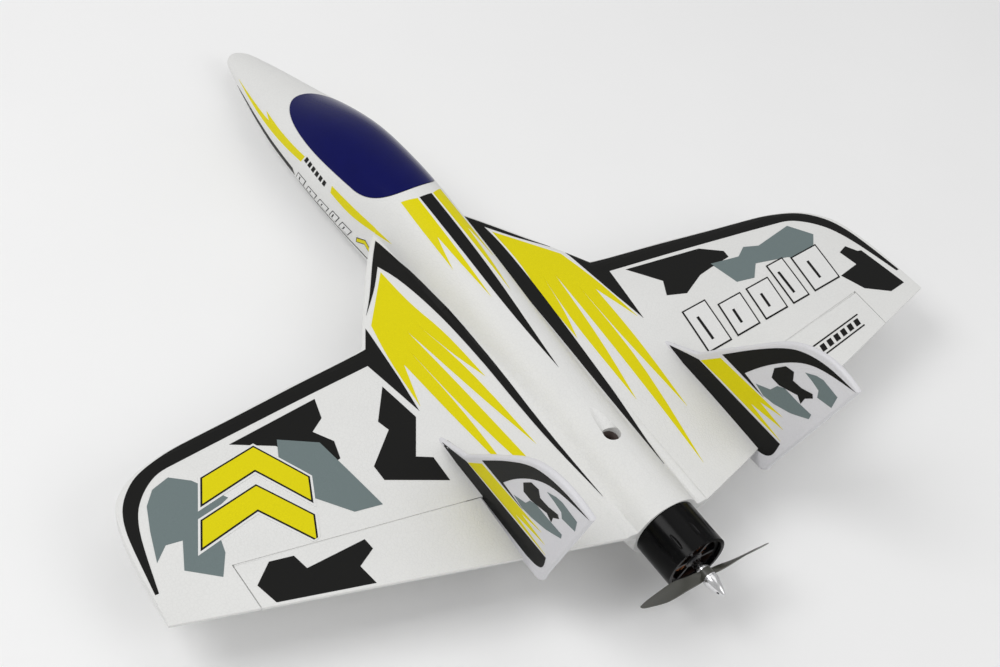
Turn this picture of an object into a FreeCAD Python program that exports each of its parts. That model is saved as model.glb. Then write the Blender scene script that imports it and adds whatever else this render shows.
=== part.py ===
"""Pusher-propeller foam jet model: foam airframe, elevon linkages, motor group and radio gear.

Millimetres. +X points to the nose, +Y to the left wing tip and +Z up. The origin is under the
middle of the length and span, on the plane that the belly rests on. Shapes are drawn about a
datum where the strake meets the outer wing (x) and the top of the wing panel (z), and each
sub-part's Placement carries it from its own frame to the model's.
"""

import FreeCAD, Part
import math
import os
import re

from FreeCAD import Placement, Rotation, Vector

DOC = FreeCAD.newDocument("foam_jet")

# ---------------------------------------------------------------- driving dimensions

DIMENSIONS = {
    # airframe
    "half_span": 391.5,
    "nose_x": 412.5,
    "spinner_x": -337.5,
    "belly_z": -65.0,
    "root_y": 42.0,
    "tail_face_x": -262.3,
    "body_clearance": 0.4,
    # wing section
    "edge_half": 3.0,
    "trailing_half": 1.25,
    "root_half": 8.0,
    "tip_half": 3.8,
    "nose_length": 9.0,
    "spar_x": -60.0,
    "spar_z": -4.8,
    "spar_radius": 3.0,
    "spar_length": 400.0,
    # elevons
    "hinge_inner_x": -175.0,
    "hinge_inner_y": 135.0,
    "hinge_outer_x": -142.0,
    "hinge_outer_y": 327.0,
    "hinge_z": 1.5,
    "hinge_gap": 0.7,
    "bevel_angle": 32.0,
    "elevon_inner_y": 125.0,
    "elevon_outer_y": 325.6,
    "elevon_cut_y": 326.5,
    # fins
    "fin_y": 119.5,
    "fin_cant": 7.03,
    "fin_thickness": 5.6,
    "fin_edge_radius": 2.4,
    # linkage, in its own frame at the hinge
    "linkage_y": 160.0,
    "arm_radius": 15.0,
    "servo_forward": 65.0,
    "servo_drop": 7.0,
    "servo_length": 22.8,
    "servo_width": 11.8,
    "servo_depth": 22.5,
    "ear_length": 32.2,
    "ear_thickness": 2.4,
    "arm_thickness": 1.8,
    "arm_offset": 1.2,
    "rod_radius": 0.65,
    "pivot_clearance": 0.05,
    "horn_thickness": 2.0,
    "connector_radius": 2.6,
    # motor group, on the thrust line
    "thrust_z": -10.4,
    "cowl_radius": 27.6,
    "cowl_wall": 2.2,
    "cowl_end_x": -303.1,
    "mount_radius": 25.3,
    "mount_thickness": 4.5,
    "spigot_radius": 18.0,
    "spigot_length": 12.0,
    "bell_radius": 24.3,
    "bell_wall": 1.9,
    "bell_front_x": -271.5,
    "bell_end_x": -299.5,
    "magnet_thickness": 1.5,
    "stator_radius": 20.1,
    "stator_length": 18.0,
    "stator_front_x": -273.0,
    "stator_hub": 9.0,
    "bearing_tube": 6.5,
    "bearing_radius": 5.0,
    "shaft_radius": 2.5,
    "propeller_radius": 68.5,
    "propeller_angle": -87.7,
    "propeller_pitch": 110.0,
    "hub_radius": 6.2,
    "hub_length": 7.0,
    "hub_front_x": -311.5,
    # bays in the fuselage
    "bay_front_x": 272.0,
    "bay_rear_x": 150.0,
    "bay_half": 20.5,
    "bay_floor_z": -50.0,
    "tunnel_rear_x": 40.0,
    "tunnel_half": 17.0,
    "tunnel_floor_z": -46.0,
    "tunnel_roof_z": -10.0,
    "channel_half": 8.0,
    "battery_length": 105.0,
    "battery_width": 34.0,
    "battery_height": 24.0,
}

SHEET = DOC.addObject("Spreadsheet::Sheet", "sizes")
for row, (alias, value) in enumerate(DIMENSIONS.items(), start=1):
    SHEET.set(f"A{row}", alias)
    SHEET.set(f"B{row}", str(value))
    SHEET.setAlias(f"B{row}", alias)
DOC.recompute()


def size(alias):
    """A driving dimension's value, read from the spreadsheet."""
    return float(SHEET.get(alias))


DATUM = Vector(-(size("nose_x") + size("spinner_x")) / 2, 0, -size("belly_z"))
AIRFRAME = Placement(DATUM, Rotation())
THRUST = Placement(DATUM + Vector(0, 0, size("thrust_z")), Rotation())

# ---------------------------------------------------------------- outlines of the foam

# Fuselage: station x, half width, top z, bottom z
BODY = [
    (412.5, 1.2, -43.8, -46.2),
    (411.0, 5.0, -41.0, -47.4),
    (407.0, 9.5, -38.4, -48.0),
    (400.0, 13.5, -35.4, -48.6),
    (380.0, 19.0, -28.6, -50.0),
    (350.0, 25.8, -19.3, -52.0),
    (320.0, 32.0, -10.2, -54.0),
    (290.0, 37.2, -0.3, -56.0),
    (260.0, 40.8, 12.2, -58.0),
    (220.0, 43.6, 26.0, -60.3),
    (180.0, 43.8, 34.0, -62.4),
    (140.0, 42.3, 38.8, -64.4),
    (107.0, 40.2, 41.0, -65.8),
    (85.0, 39.0, 40.3, -66.5),
    (40.0, 38.2, 37.0, -67.0),
    (0.0, 37.6, 33.0, -67.0),
    (-50.0, 36.6, 27.0, -67.0),
    (-107.0, 35.0, 21.5, -66.6),
    (-160.0, 33.4, 18.6, -62.5),
    (-220.0, 31.6, 17.6, -49.0),
    (-262.3, 30.4, 17.4, -38.6),
]
NOSE_STATIONS = [412.5, 411, 407, 400, 390, 375, 355, 330, 300, 270, 240, 210, 180, 150, 128, 107]
MIDDLE_STATIONS = [107, 100, 85, 62, 35, 5, -30, -70, -110, -150, -190, -228, -262.3]
BODY_SQUARENESS = 2.2
FAIRING_REACH = 7.0

# Wing leading edge in plan: y, x
STRAKE_EDGE = [(42, 107), (61, 84), (89, 46), (105, 23), (121, 0)]
WING_EDGE = [
    (121, 0),
    (185, -8),
    (235, -14),
    (284, -20),
    (321, -25),
    (346, -32),
    (361, -40),
    (372, -50),
    (392, -72),
]
TIP_SIDE = [(361, -41), (370, -48), (376, -58), (384, -87), (388, -120), (391.5, -166)]
LEADING_Z = -4.5
TRAILING_Z = -1.3
SAG = 1.5

# Canopy parting line in side view: straight from the nose, then an arc up to the spine
CANOPY_LINE = [(330, -6.3), (150, 14.8)]
CANOPY_ARC = [(150, 14.8), (124.5, 24.1), (106, 44.0)]


# ---------------------------------------------------------------- helpers for curves


def smooth(table, at, column=1):
    """Cubic through a table's (x, value) rows, with slopes from the neighbouring rows."""
    rows = sorted((row[0], row[column]) for row in table)
    at = min(max(at, rows[0][0]), rows[-1][0])
    i = max(k for k in range(len(rows) - 1) if rows[k][0] <= at)

    def slope(k):
        low, high = max(k - 1, 0), min(k + 1, len(rows) - 1)
        return (rows[high][1] - rows[low][1]) / (rows[high][0] - rows[low][0])

    gap = rows[i + 1][0] - rows[i][0]
    part = (at - rows[i][0]) / gap
    square, cube = part**2, part**3
    return (
        (2 * cube - 3 * square + 1) * rows[i][1]
        + (cube - 2 * square + part) * gap * slope(i)
        + (3 * square - 2 * cube) * rows[i + 1][1]
        + (cube - square) * gap * slope(i + 1)
    )


def spline(points, tangents=None):
    """Edge of one smooth curve through the points, with tangents at the points numbered."""
    curve = Part.BSplineCurve()
    if tangents:
        count = len(points)
        directions = [tangents.get(k, Vector(0, 0, 0)) for k in range(count)]
        flags = [k in tangents for k in range(count)]
        curve.interpolate(Points=points, Tangents=directions, TangentFlags=flags)
    else:
        curve.interpolate(Points=points)
    return curve.toShape()


def line(first, last):
    return Part.makeLine(first, last)


def plan_prism(edges, low, high):
    """Solid standing on a plan outline, between two heights."""
    face = Part.Face(Part.Wire(edges))
    face.translate(Vector(0, 0, low))
    return face.extrude(Vector(0, 0, high - low))


def plan_polygon(points, low, high):
    corners = [Vector(x, y, 0) for x, y in points]
    return plan_prism([line(a, b) for a, b in zip(corners, corners[1:] + corners[:1])], low, high)


def block(low, high):
    """Box between two opposite corners."""
    low, high = Vector(*low), Vector(*high)
    span = high - low
    return Part.makeBox(span.x, span.y, span.z, low)


# ---------------------------------------------------------------- helpers for the document

SUBPARTS = []


def expression(text):
    """Write each driving dimension's alias in the form that an expression reads."""
    return re.sub(r"[a-z_]{3,}", lambda found: "sizes." + found.group(0), text)


def bind(item, **sizes):
    """Tie properties of an object to the spreadsheet; numbers are set as they are."""
    for name, value in sizes.items():
        if isinstance(value, str):
            item.setExpression(name, expression(value))
        else:
            setattr(item, name, value)
    return item


def place(item, x=0.0, y=0.0, z=0.0, turn=None):
    """Put an object in its sub-part's frame; texts are tied to the spreadsheet."""
    item.Placement = Placement(Vector(0, 0, 0), turn or Rotation())
    for axis, value in zip("xyz", (x, y, z)):
        if isinstance(value, str):
            item.setExpression("Placement.Base." + axis, expression(value))
        else:
            item.setExpression("Placement.Base." + axis, str(value))
    return item


ALONG_X = Rotation(Vector(0, 1, 0), -90)  # lays a cylinder's length along -X
ALONG_Y = Rotation(Vector(1, 0, 0), -90)


def box(name, length, width, height, x, y, z):
    item = bind(DOC.addObject("Part::Box", name), Length=length, Width=width, Height=height)
    return place(item, x, y, z)


def cylinder(name, radius, height, x=0.0, y=0.0, z=0.0, turn=None):
    item = bind(DOC.addObject("Part::Cylinder", name), Radius=radius, Height=height)
    return place(item, x, y, z, turn)


def disc(name, radius, front, length, y=0.0, z=0.0):
    """Cylinder along X whose forward face is at front."""
    return cylinder(name, radius, length, front, y, z, ALONG_X)


def fuse(name, *items):
    item = DOC.addObject("Part::MultiFuse", name)
    item.Shapes = list(items)
    return item


def cut(name, base, *tools):
    item = DOC.addObject("Part::Cut", name)
    item.Base = base
    item.Tool = tools[0] if len(tools) == 1 else fuse(name + "_tools", *tools)
    return item


def feature(name, shape):
    """Part::Feature that holds a shape; a lone solid is taken out of its compound."""
    item = DOC.addObject("Part::Feature", name)
    item.Shape = shape.Solids[0] if len(shape.Solids) == 1 else shape
    return item


def subpart(item, label, frame=None):
    """Name a finished sub-part and put it in its place in the model."""
    item.Label = label
    if frame:
        item.Placement = frame
    SUBPARTS.append(item)
    return item


def mirrored(source, label):
    """The right-hand copy of a left-hand sub-part."""
    item = DOC.addObject("Part::Mirroring", label)
    item.Source = source
    item.Normal = Vector(0, 1, 0)
    return subpart(item, label)


def plane_of(body, role):
    return next(item for item in body.Origin.OriginFeatures if item.Role == role)


def sketch(body, name, role, start, steps):
    """Closed sketch: a step is a corner, an arc's middle and end, or more points of a spline."""
    item = body.newObject("Sketcher::SketchObject", name)
    item.AttachmentSupport = (plane_of(body, role), [""])
    item.MapMode = "FlatFace"
    here = Vector(*start, 0)
    for step in steps:
        corners = [Vector(*point, 0) for point in (step if isinstance(step[0], tuple) else [step])]
        if len(corners) > 2:
            curve = Part.BSplineCurve()
            curve.interpolate(Points=[here] + corners)
            item.addGeometry(curve, False)
        elif len(corners) == 2:
            item.addGeometry(Part.Arc(here, corners[0], corners[1]), False)
        else:
            item.addGeometry(Part.LineSegment(here, corners[0]), False)
        here = corners[-1]
    return item


def pad(body, name, profile, thickness):
    item = body.newObject("PartDesign::Pad", name)
    item.Profile = profile
    item.Midplane = True
    return bind(item, Length=thickness)


def revolution(body, name, profile):
    item = body.newObject("PartDesign::Revolution", name)
    item.Profile = profile
    item.ReferenceAxis = (profile, ["H_Axis"])
    item.Angle = 360
    return item


# ---------------------------------------------------------------- wing panel surface


def trailing_edge(y):
    """The trailing edge is one straight line, swept forward to the tip."""
    return -265.0 + 0.275 * (y - 32)


def wing_section(x, y, leading):
    """Top and bottom heights of the panel at a point behind its leading edge."""
    chord = leading - trailing_edge(y)
    part = min(max((leading - x) / chord, 0.0), 1.0)
    fall = (y - size("root_y")) / (size("half_span") - size("root_y"))
    depth = size("root_half") + (size("tip_half") - size("root_half")) * fall
    edge, trail = size("edge_half"), size("trailing_half")
    hump = 4 * part * (1 - part)
    half = edge * (1 - part) + trail * part + (depth - (edge + trail) / 2) * hump
    into = min((leading - x) / size("nose_length"), 1.0)
    half *= math.sqrt(max(1 - (1 - into) ** 2, 0.0))
    middle = LEADING_Z * (1 - part) + TRAILING_Z * part - SAG * hump * depth / size("root_half")
    return middle + half, middle - half


def panel_outline(y, leading):
    """Closed wing section at one span station: curves above and below, and a blunt rear."""
    chord = leading - trailing_edge(y)
    steps = 13
    tops, bottoms = [], []
    for k in range(steps, 0, -1):
        x = leading - chord * (k / steps) ** 2.2
        top, bottom = wing_section(x, y, leading)
        tops.append(Vector(x, y, top))
        bottoms.insert(0, Vector(x, y, bottom))
    nose = Vector(leading, y, LEADING_Z)
    return Part.Wire([spline(tops + [nose]), spline([nose] + bottoms), line(bottoms[-1], tops[0])])


def panel_loft(edge):
    """Wing panel through the sections at each point of a leading edge."""
    return Part.makeLoft([panel_outline(y, x) for y, x in edge], True, False)


def whole_wing():
    """Left wing panel before its elevon, slots and wells are cut."""
    panel = panel_loft(STRAKE_EDGE).fuse(panel_loft(WING_EDGE)).removeSplitter()
    tip = [Vector(x, y, 0) for y, x in TIP_SIDE]
    root, front, back = size("root_y"), 120.0, trailing_edge(0) - 20
    edges = [
        spline(tip),
        line(tip[-1], Vector(trailing_edge(size("half_span")) - 0.3, tip[-1].y, 0)),
        line(Vector(trailing_edge(size("half_span")) - 0.3, tip[-1].y, 0), Vector(back, tip[-1].y, 0)),
        line(Vector(back, tip[-1].y, 0), Vector(back, root, 0)),
        line(Vector(back, root, 0), Vector(front, root, 0)),
        line(Vector(front, root, 0), Vector(front, tip[0].y, 0)),
        line(Vector(front, tip[0].y, 0), tip[0]),
    ]
    return panel.common(plan_prism(edges, -40, 40))


# ---------------------------------------------------------------- elevon hinge


def hinge_x(y):
    inner = Vector(size("hinge_inner_x"), size("hinge_inner_y"), 0)
    outer = Vector(size("hinge_outer_x"), size("hinge_outer_y"), 0)
    return inner.x + (outer.x - inner.x) * (y - inner.y) / (outer.y - inner.y)


HINGE_TURN = -math.degrees(
    math.atan2(
        size("hinge_outer_x") - size("hinge_inner_x"), size("hinge_outer_y") - size("hinge_inner_y")
    )
)
HINGE_POINT = Vector(hinge_x(size("linkage_y")), size("linkage_y"), size("hinge_z"))
LINKAGE = Placement(DATUM + HINGE_POINT, Rotation(Vector(0, 0, 1), HINGE_TURN))
LINKAGE_AT_DATUM = Placement(HINGE_POINT, Rotation(Vector(0, 0, 1), HINGE_TURN))


def elevon_cutout():
    """Opening in the wing for the elevon, open to the trailing edge and to the fin."""
    outer, inner, back = size("elevon_cut_y"), size("fin_y"), trailing_edge(0) - 20
    shift = size("hinge_gap") / 2
    corners = [(hinge_x(outer) + shift, outer), (back, outer), (back, inner), (hinge_x(inner) + shift, inner)]
    return plan_polygon(corners, -30, 30)


def elevon_plan():
    """Plan of the elevon, whose inner end slants away from the fin."""
    outer, back = size("elevon_outer_y"), trailing_edge(0) - 20
    front_y, back_y = size("elevon_inner_y"), size("elevon_inner_y") + 2.8
    shift = size("hinge_gap") / 2
    corners = [
        (hinge_x(outer) - shift, outer),
        (back, outer),
        (back, back_y),
        (trailing_edge(back_y) - 2, back_y),
        (hinge_x(front_y) - shift, front_y),
    ]
    return plan_polygon(corners, -30, 30)


def bevel_wedge():
    """Wedge under the hinge line, so that the elevon's front clears the wing when it goes down."""
    drop = 25.0
    run = drop * math.tan(math.radians(size("bevel_angle")))
    top = 2.6 - size("hinge_z")
    corners = [Vector(20, 0, top), Vector(0, 0, top), Vector(-run, 0, top - drop), Vector(20, 0, top - drop)]
    edges = [line(a, b) for a, b in zip(corners, corners[1:] + corners[:1])]
    wedge = Part.Face(Part.Wire(edges)).extrude(Vector(0, 260, 0))
    wedge.translate(Vector(-size("hinge_gap") / 2, -70, 0))
    wedge.Placement = LINKAGE_AT_DATUM.multiply(wedge.Placement)
    return wedge


# ---------------------------------------------------------------- fuselage surface


def body_point(x, turn):
    """Point of the body's section at a turn angle from its side, before any fairing."""
    half, top, bottom = (smooth(BODY, x, column) for column in (1, 2, 3))
    middle, reach = (top + bottom) / 2, (top - bottom) / 2
    power = 2 / BODY_SQUARENESS
    across = half * abs(math.cos(turn)) ** power
    up = reach * abs(math.sin(turn)) ** power
    return across, middle + math.copysign(up, turn)


def nose_outline(x):
    """Half section ahead of the wing, closed along the middle plane."""
    turns = [math.radians(90 - 15 * k) for k in range(13)]
    points = [Vector(x, *body_point(x, turn)) for turn in turns]
    points[0].y = points[-1].y = 0.0
    outer = spline(points, {0: Vector(0, 1, 0), len(points) - 1: Vector(0, -1, 0)})
    return Part.Wire([outer, line(points[-1], points[0])])


def faired_curve(x, side, height):
    """Half of a wing station's section: body, hollow fairing and wing root in one curve."""
    half, top, bottom = (smooth(BODY, x, column) for column in (1, 2, 3))
    middle = (top + bottom) / 2
    points = []
    for degrees in (90, 76, 62, 49, 38, 29, 21, 14, 8):
        across, up = body_point(x, side * math.radians(degrees))
        points.append((across, up))
    points.append((half + 0.2, middle - side * 6))
    points.append(((half + size("root_y")) / 2 + 0.4, middle - side * 40))
    curve = []
    for across, up in points:
        mixed = (up + height + side * math.hypot(up - height, FAIRING_REACH)) / 2
        curve.append(Vector(x, across, mixed))
    curve[0] = Vector(x, 0, curve[0].z)
    return curve + [Vector(x, size("root_y"), height)]


def middle_outline(x):
    """Half section beside the wing, with its root face at the wing joint."""
    high, low = wing_section(x, size("root_y"), STRAKE_EDGE[0][1] + 1.5)
    upper = faired_curve(x, 1, max(high, LEADING_Z + 0.8))
    lower = faired_curve(x, -1, min(low, LEADING_Z - 0.8))
    return Part.Wire(
        [
            spline(upper, {0: Vector(0, 1, 0)}),
            line(upper[-1], lower[-1]),
            spline(lower, {0: Vector(0, 1, 0)}),
            line(lower[0], upper[0]),
        ]
    )


def half_body():
    """Left half of the closed fuselage and canopy together."""
    nose = Part.makeLoft([nose_outline(x) for x in NOSE_STATIONS], True, False)
    middle = Part.makeLoft([middle_outline(x) for x in MIDDLE_STATIONS], True, False)
    floor = size("belly_z")
    return nose.fuse(middle).cut(block((-300, -10, floor - 20), (450, 60, floor)))


def canopy_space(shift):
    """Everything above the canopy's parting line, moved up and forward by shift."""
    (start, bend), (_, through, top) = CANOPY_LINE, CANOPY_ARC
    points = [Vector(x + shift, -60, z + shift) for x, z in (start, bend, through, top)]
    roof = [Vector(points[3].x, -60, 80), Vector(points[0].x, -60, 80)]
    edges = [
        line(points[0], points[1]),
        Part.Arc(points[1], points[2], points[3]).toShape(),
        line(points[3], roof[0]),
        line(roof[0], roof[1]),
        line(roof[1], points[0]),
    ]
    return Part.Face(Part.Wire(edges)).extrude(Vector(0, 120, 0))


# Canopy fittings and the cooling scoop behind it
PEG_X, PEG_RADIUS, PEG_DEPTH = 279.0, 3.0, 9.0
LATCH_X, LATCH_TOP = 138.0, 13.0
RAMP_START, RAMP_RADIUS, RAMP_LENGTH, RAMP_ANGLE = Vector(-140, 0, 30.5), 8.0, 44.0, 0.22
DUCT_X, DUCT_RADIUS = -181.5, 7.6


def fuselage_bays():
    """Battery bay, equipment tunnel, cable channel, motor socket and cooling scoop."""
    half, tunnel, channel = size("bay_half"), size("tunnel_half"), size("channel_half")
    rear, back = size("bay_rear_x"), size("tunnel_rear_x")
    thrust, tail = size("thrust_z"), size("tail_face_x")
    spigot = size("spigot_radius")
    dive = Vector(-math.cos(RAMP_ANGLE), 0, -math.sin(RAMP_ANGLE))
    ramp = Part.makeCylinder(RAMP_RADIUS, RAMP_LENGTH, RAMP_START, dive)
    duct = Part.makeCylinder(DUCT_RADIUS, 60, Vector(DUCT_X, 0, -26), Vector(0, 0, 1))
    return [
        block((rear, -half, size("bay_floor_z")), (size("bay_front_x"), half, 60)),
        block((back, -tunnel, size("tunnel_floor_z")), (rear, tunnel, size("tunnel_roof_z"))),
        block((tail + 50, -channel, -34), (back, channel, -18)),
        Part.makeCylinder(spigot, 52, Vector(tail - 1, 0, thrust), Vector(1, 0, 0)),
        ramp,
        duct,
        Part.makeCylinder(PEG_RADIUS + 0.4, 30, Vector(PEG_X, 0, -PEG_DEPTH - 0.6), Vector(0, 0, 1)),
        block((LATCH_X - 8, -6, 0), (LATCH_X + 8, 6, 40)),
    ]


def spar_hole():
    length = size("spar_length")
    start = Vector(size("spar_x"), -length / 2, size("spar_z"))
    return Part.makeCylinder(size("spar_radius"), length, start, Vector(0, 1, 0))


# ---------------------------------------------------------------- fins


def make_fin():
    """Fin with its low dorsal edge, its slot tab and the part that shows under the wing."""
    body = DOC.addObject("PartDesign::Body", "fin_left_body")
    outline = sketch(
        body,
        "fin_outline",
        "XZ_Plane",
        (-104, -2),
        [
            ((-128, 11), (-148, 22)),
            ((-166, 44), (-194, 76), (-222, 105), (-242, 116.5), (-266, 121.5), (-293.5, 118)),
            (-260.5, 2),
            (-258.5, -6),
            ((-256, -13), (-249, -16)),
            (-232, -16),
            ((-212, -14.5), (-195, -11)),
            (-172, -11),
            (-172, -2),
            (-104, -2),
        ],
    )
    plate = pad(body, "fin_pad", outline, "fin_thickness")
    DOC.recompute()
    side = size("fin_thickness") / 2
    rims = []
    for number, edge in enumerate(plate.Shape.Edges, start=1):
        middle = edge.valueAt((edge.FirstParameter + edge.LastParameter) / 2)
        on_face = abs(abs(middle.y) - side) < 1e-3
        straight_joint = middle.z < -1.5 and middle.x > -215
        if on_face and not straight_joint:
            rims.append("Edge%d" % number)
    rounding = body.newObject("PartDesign::Fillet", "fin_rounding")
    rounding.Base = (plate, rims)
    bind(rounding, Radius="fin_edge_radius")
    frame = Placement(DATUM + Vector(0, size("fin_y"), 0), Rotation(Vector(1, 0, 0), -size("fin_cant")))
    return subpart(body, "fin_left", frame)


# ---------------------------------------------------------------- elevon linkage


def make_servo():
    """Micro servo lying in the wing, with its shaft boss facing inboard."""
    depth = 4.2 + size("arm_offset")
    case = box(
        "servo_case",
        "servo_length",
        "servo_depth",
        "servo_width",
        "servo_forward - servo_length + servo_width / 2",
        depth,
        "-servo_drop - servo_width / 2",
    )
    ears = box(
        "servo_ears",
        "ear_length",
        "ear_thickness",
        "servo_width",
        "servo_forward - servo_length / 2 + servo_width / 2 - ear_length / 2",
        depth + 4.5,
        "-servo_drop - servo_width / 2",
    )
    boss = cylinder(
        "servo_boss", "servo_width / 2 - 0.3", 4.0, "servo_forward", depth - 2.6, "-servo_drop", ALONG_Y
    )
    bore = cylinder("servo_bore", 2.55, 6.0, "servo_forward", depth - 4, "-servo_drop", ALONG_Y)
    return subpart(cut("servo_body", fuse("servo_solid", case, ears, boss), bore), "servo_left", LINKAGE)


def servo_well():
    """Hollow in the wing's underside for the servo, its ears and its swinging arm."""
    room, forward, drop = 0.2, size("servo_forward"), size("servo_drop")
    length, width, ears = size("servo_length"), size("servo_width"), size("ear_length")
    depth = 4.2 + size("arm_offset")
    front = forward + width / 2
    top = -drop + width / 2 + room
    middle = front - length / 2
    parts = [
        block((front - length - room, depth - 4.2, -30), (front + room, depth + size("servo_depth") + room, top)),
        block((middle - ears / 2 - room, depth + 4.3, -30), (middle + ears / 2 + room, depth + 7.1, top)),
        block((forward - 9, -3.5, -30), (forward + 9, depth, -drop + 4.6)),
    ]
    for part in parts:
        part.Placement = LINKAGE_AT_DATUM.multiply(part.Placement)
    return parts


def make_servo_output():
    """Splined output shaft, which turns with the arm."""
    start = size("arm_offset") - size("arm_thickness") / 2 - 1.0
    shaft = cylinder("output_shaft", 2.5, 7.5, "servo_forward", start, "-servo_drop", ALONG_Y)
    hole = cylinder("output_hole", 0.9, 4.0, "servo_forward", start - 0.1, "-servo_drop", ALONG_Y)
    return subpart(cut("servo_output", shaft, hole), "servo_output_left", LINKAGE)


def make_servo_arm():
    """Plastic arm hanging from the output shaft, with a row of pivot holes."""
    body = DOC.addObject("PartDesign::Body", "servo_arm_body")
    reach = size("arm_radius")
    profile = sketch(
        body,
        "arm_outline",
        "XZ_Plane",
        (-3.4, 0),
        [
            ((0, 3.4), (3.4, 0)),
            (1.7, -reach),
            ((0, -reach - 1.9), (-1.7, -reach)),
            (-3.4, 0),
        ],
    )
    pad(body, "arm_pad", profile, "arm_thickness")
    hub = cylinder("arm_hub", 2.5, 8.0, 0, -4, 0, ALONG_Y)
    hole = cylinder("arm_hole", "rod_radius + pivot_clearance", 8.0, 0, -4, "-arm_radius", ALONG_Y)
    spare = [
        cylinder(f"arm_spare_{k}", 0.6, 8.0, 0, -4, f"-arm_radius + {3 * k}", ALONG_Y) for k in (1, 2, 3)
    ]
    arm = cut("servo_arm", body, hub, hole, *spare)
    pivot = Vector(size("servo_forward"), size("arm_offset"), -size("servo_drop"))
    frame = LINKAGE.multiply(Placement(pivot, Rotation()))
    return subpart(arm, "servo_arm_left", frame)


def make_arm_screw():
    """Small screw that holds the arm on the output shaft."""
    start = size("arm_offset") - size("arm_thickness") / 2 - 1.0
    head = cylinder("arm_screw_head", 1.9, 1.2, "servo_forward", start - 1.2, "-servo_drop", ALONG_Y)
    shank = cylinder("arm_screw_shank", 0.9, 3.5, "servo_forward", start - 0.1, "-servo_drop", ALONG_Y)
    slot = box("arm_screw_slot", 3.0, 0.5, 0.5, "servo_forward - 1.5", start - 1.25, "-servo_drop - 0.25")
    return subpart(cut("arm_screw", fuse("arm_screw_solid", head, shank), slot), "servo_arm_screw_left", LINKAGE)


def round_bar(points, radius, bend):
    """Wire bent through the points, with an arc of one radius at each corner."""
    corners = [Vector(*point) for point in points]
    edges, here = [], corners[0]
    for before, corner, after in zip(corners, corners[1:], corners[2:]):
        into = (before - corner).normalize()
        out = (after - corner).normalize()
        half_turn = math.acos(max(min(-into.dot(out), 1), -1)) / 2
        back = bend * math.tan(half_turn)
        first, last = corner + into * back, corner + out * back
        centre_line = (into + out).normalize()
        middle = corner + centre_line * (bend / math.cos(half_turn) - bend)
        edges += [line(here, first), Part.Arc(first, middle, last).toShape()]
        here = last
    edges.append(line(here, corners[-1]))
    path = Part.Wire(edges)
    direction = (corners[1] - corners[0]).normalize()
    profile = Part.Wire([Part.makeCircle(radius, corners[0], direction)])
    return path.makePipeShell([profile], True, False)


CONNECTOR_Y = -4.2


def make_pushrod():
    """Steel rod with a Z bend through the arm and a straight end in the connector."""
    forward, drop, reach = size("servo_forward"), size("servo_drop"), size("arm_radius")
    arm_y = size("arm_offset")
    near, far = arm_y - 3.0, arm_y + 3.4
    pivot = -drop - reach
    slope = (pivot + reach) / forward
    bar = round_bar(
        [
            (-9, CONNECTOR_Y, -reach - 9 * slope),
            (forward - 22, CONNECTOR_Y, -reach + (forward - 22) * slope),
            (forward - 14, near, pivot - 14 * slope),
            (forward, near, pivot),
            (forward, far, pivot),
            (forward - 4.5, far, pivot - 4.5 * slope),
        ],
        size("rod_radius"),
        1.5,
    )
    return subpart(feature("pushrod_wire", bar), "pushrod_left", LINKAGE)


def make_connector():
    """Brass barrel that clamps the rod, on a stem that turns in the horn."""
    barrel = cylinder("connector_barrel", "connector_radius", 5.4, 0, CONNECTOR_Y - 2.7, "-arm_radius", ALONG_Y)
    stem = cylinder("connector_stem", 0.95, 3.7, 0, CONNECTOR_Y + 2.6, "-arm_radius", ALONG_Y)
    keeper = cylinder("connector_keeper", 1.9, 0.8, 0, CONNECTOR_Y + 5.7, "-arm_radius", ALONG_Y)
    slope = math.degrees(math.atan2(size("servo_drop"), size("servo_forward")))
    bore = cylinder(
        "connector_bore", "rod_radius", 12.0, 0, CONNECTOR_Y, 0, Rotation(Vector(0, 1, 0), 90 + slope)
    )
    run = 6.0
    bore.setExpression("Placement.Base.x", str(-run * math.cos(math.radians(slope))))
    bore.setExpression(
        "Placement.Base.z", expression("-arm_radius") + " + " + str(run * math.sin(math.radians(slope)))
    )
    thread = cylinder("connector_thread", 0.8, 4.0, 0, CONNECTOR_Y, "-arm_radius - 3.2")
    return subpart(
        cut("connector", fuse("connector_solid", barrel, stem, keeper), bore, thread),
        "rod_connector_left",
        LINKAGE,
    )


def make_grub_screw():
    """Grub screw in the side of the connector, bearing on the rod."""
    screw = cylinder("grub_screw", 0.8, 2.4, 0, CONNECTOR_Y, "-arm_radius - 3.2")
    rod_space = cylinder("grub_rod_space", "rod_radius + 0.12", 12.0, -6, CONNECTOR_Y, "-arm_radius")
    rod_space.Placement.Rotation = Rotation(Vector(0, 1, 0), 90)
    return subpart(cut("grub", screw, rod_space), "grub_screw_left", LINKAGE)


def make_horn():
    """Plastic control horn glued into the elevon's underside."""
    body = DOC.addObject("PartDesign::Body", "horn_body")
    reach = size("arm_radius")
    base = -8.4
    profile = sketch(
        body,
        "horn_outline",
        "XZ_Plane",
        (-8, base),
        [
            (-19, base),
            (-19, base - 1.6),
            ((-9, base - 3.2), (-2.0, -reach - 1.4)),
            ((1.6, -reach - 1.6), (2.2, -reach + 1.2)),
            ((-2.0, base - 2.4), (-8, base)),
        ],
    )
    pad(body, "horn_pad", profile, "horn_thickness")
    hole = cylinder("horn_hole", 1.0, 8.0, 0, -4, "-arm_radius", ALONG_Y)
    plate = box("horn_plate", 12.0, 9.0, 1.2, -19.5, -4.5, base - 1.2)
    tang = box("horn_tang", 9.0, "horn_thickness", 3.0, -18, "-horn_thickness / 2", base - 0.2)
    return subpart(cut("horn", fuse("horn_solid", body, plate, tang), hole), "control_horn_left", LINKAGE)


# ---------------------------------------------------------------- motor group


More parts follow.
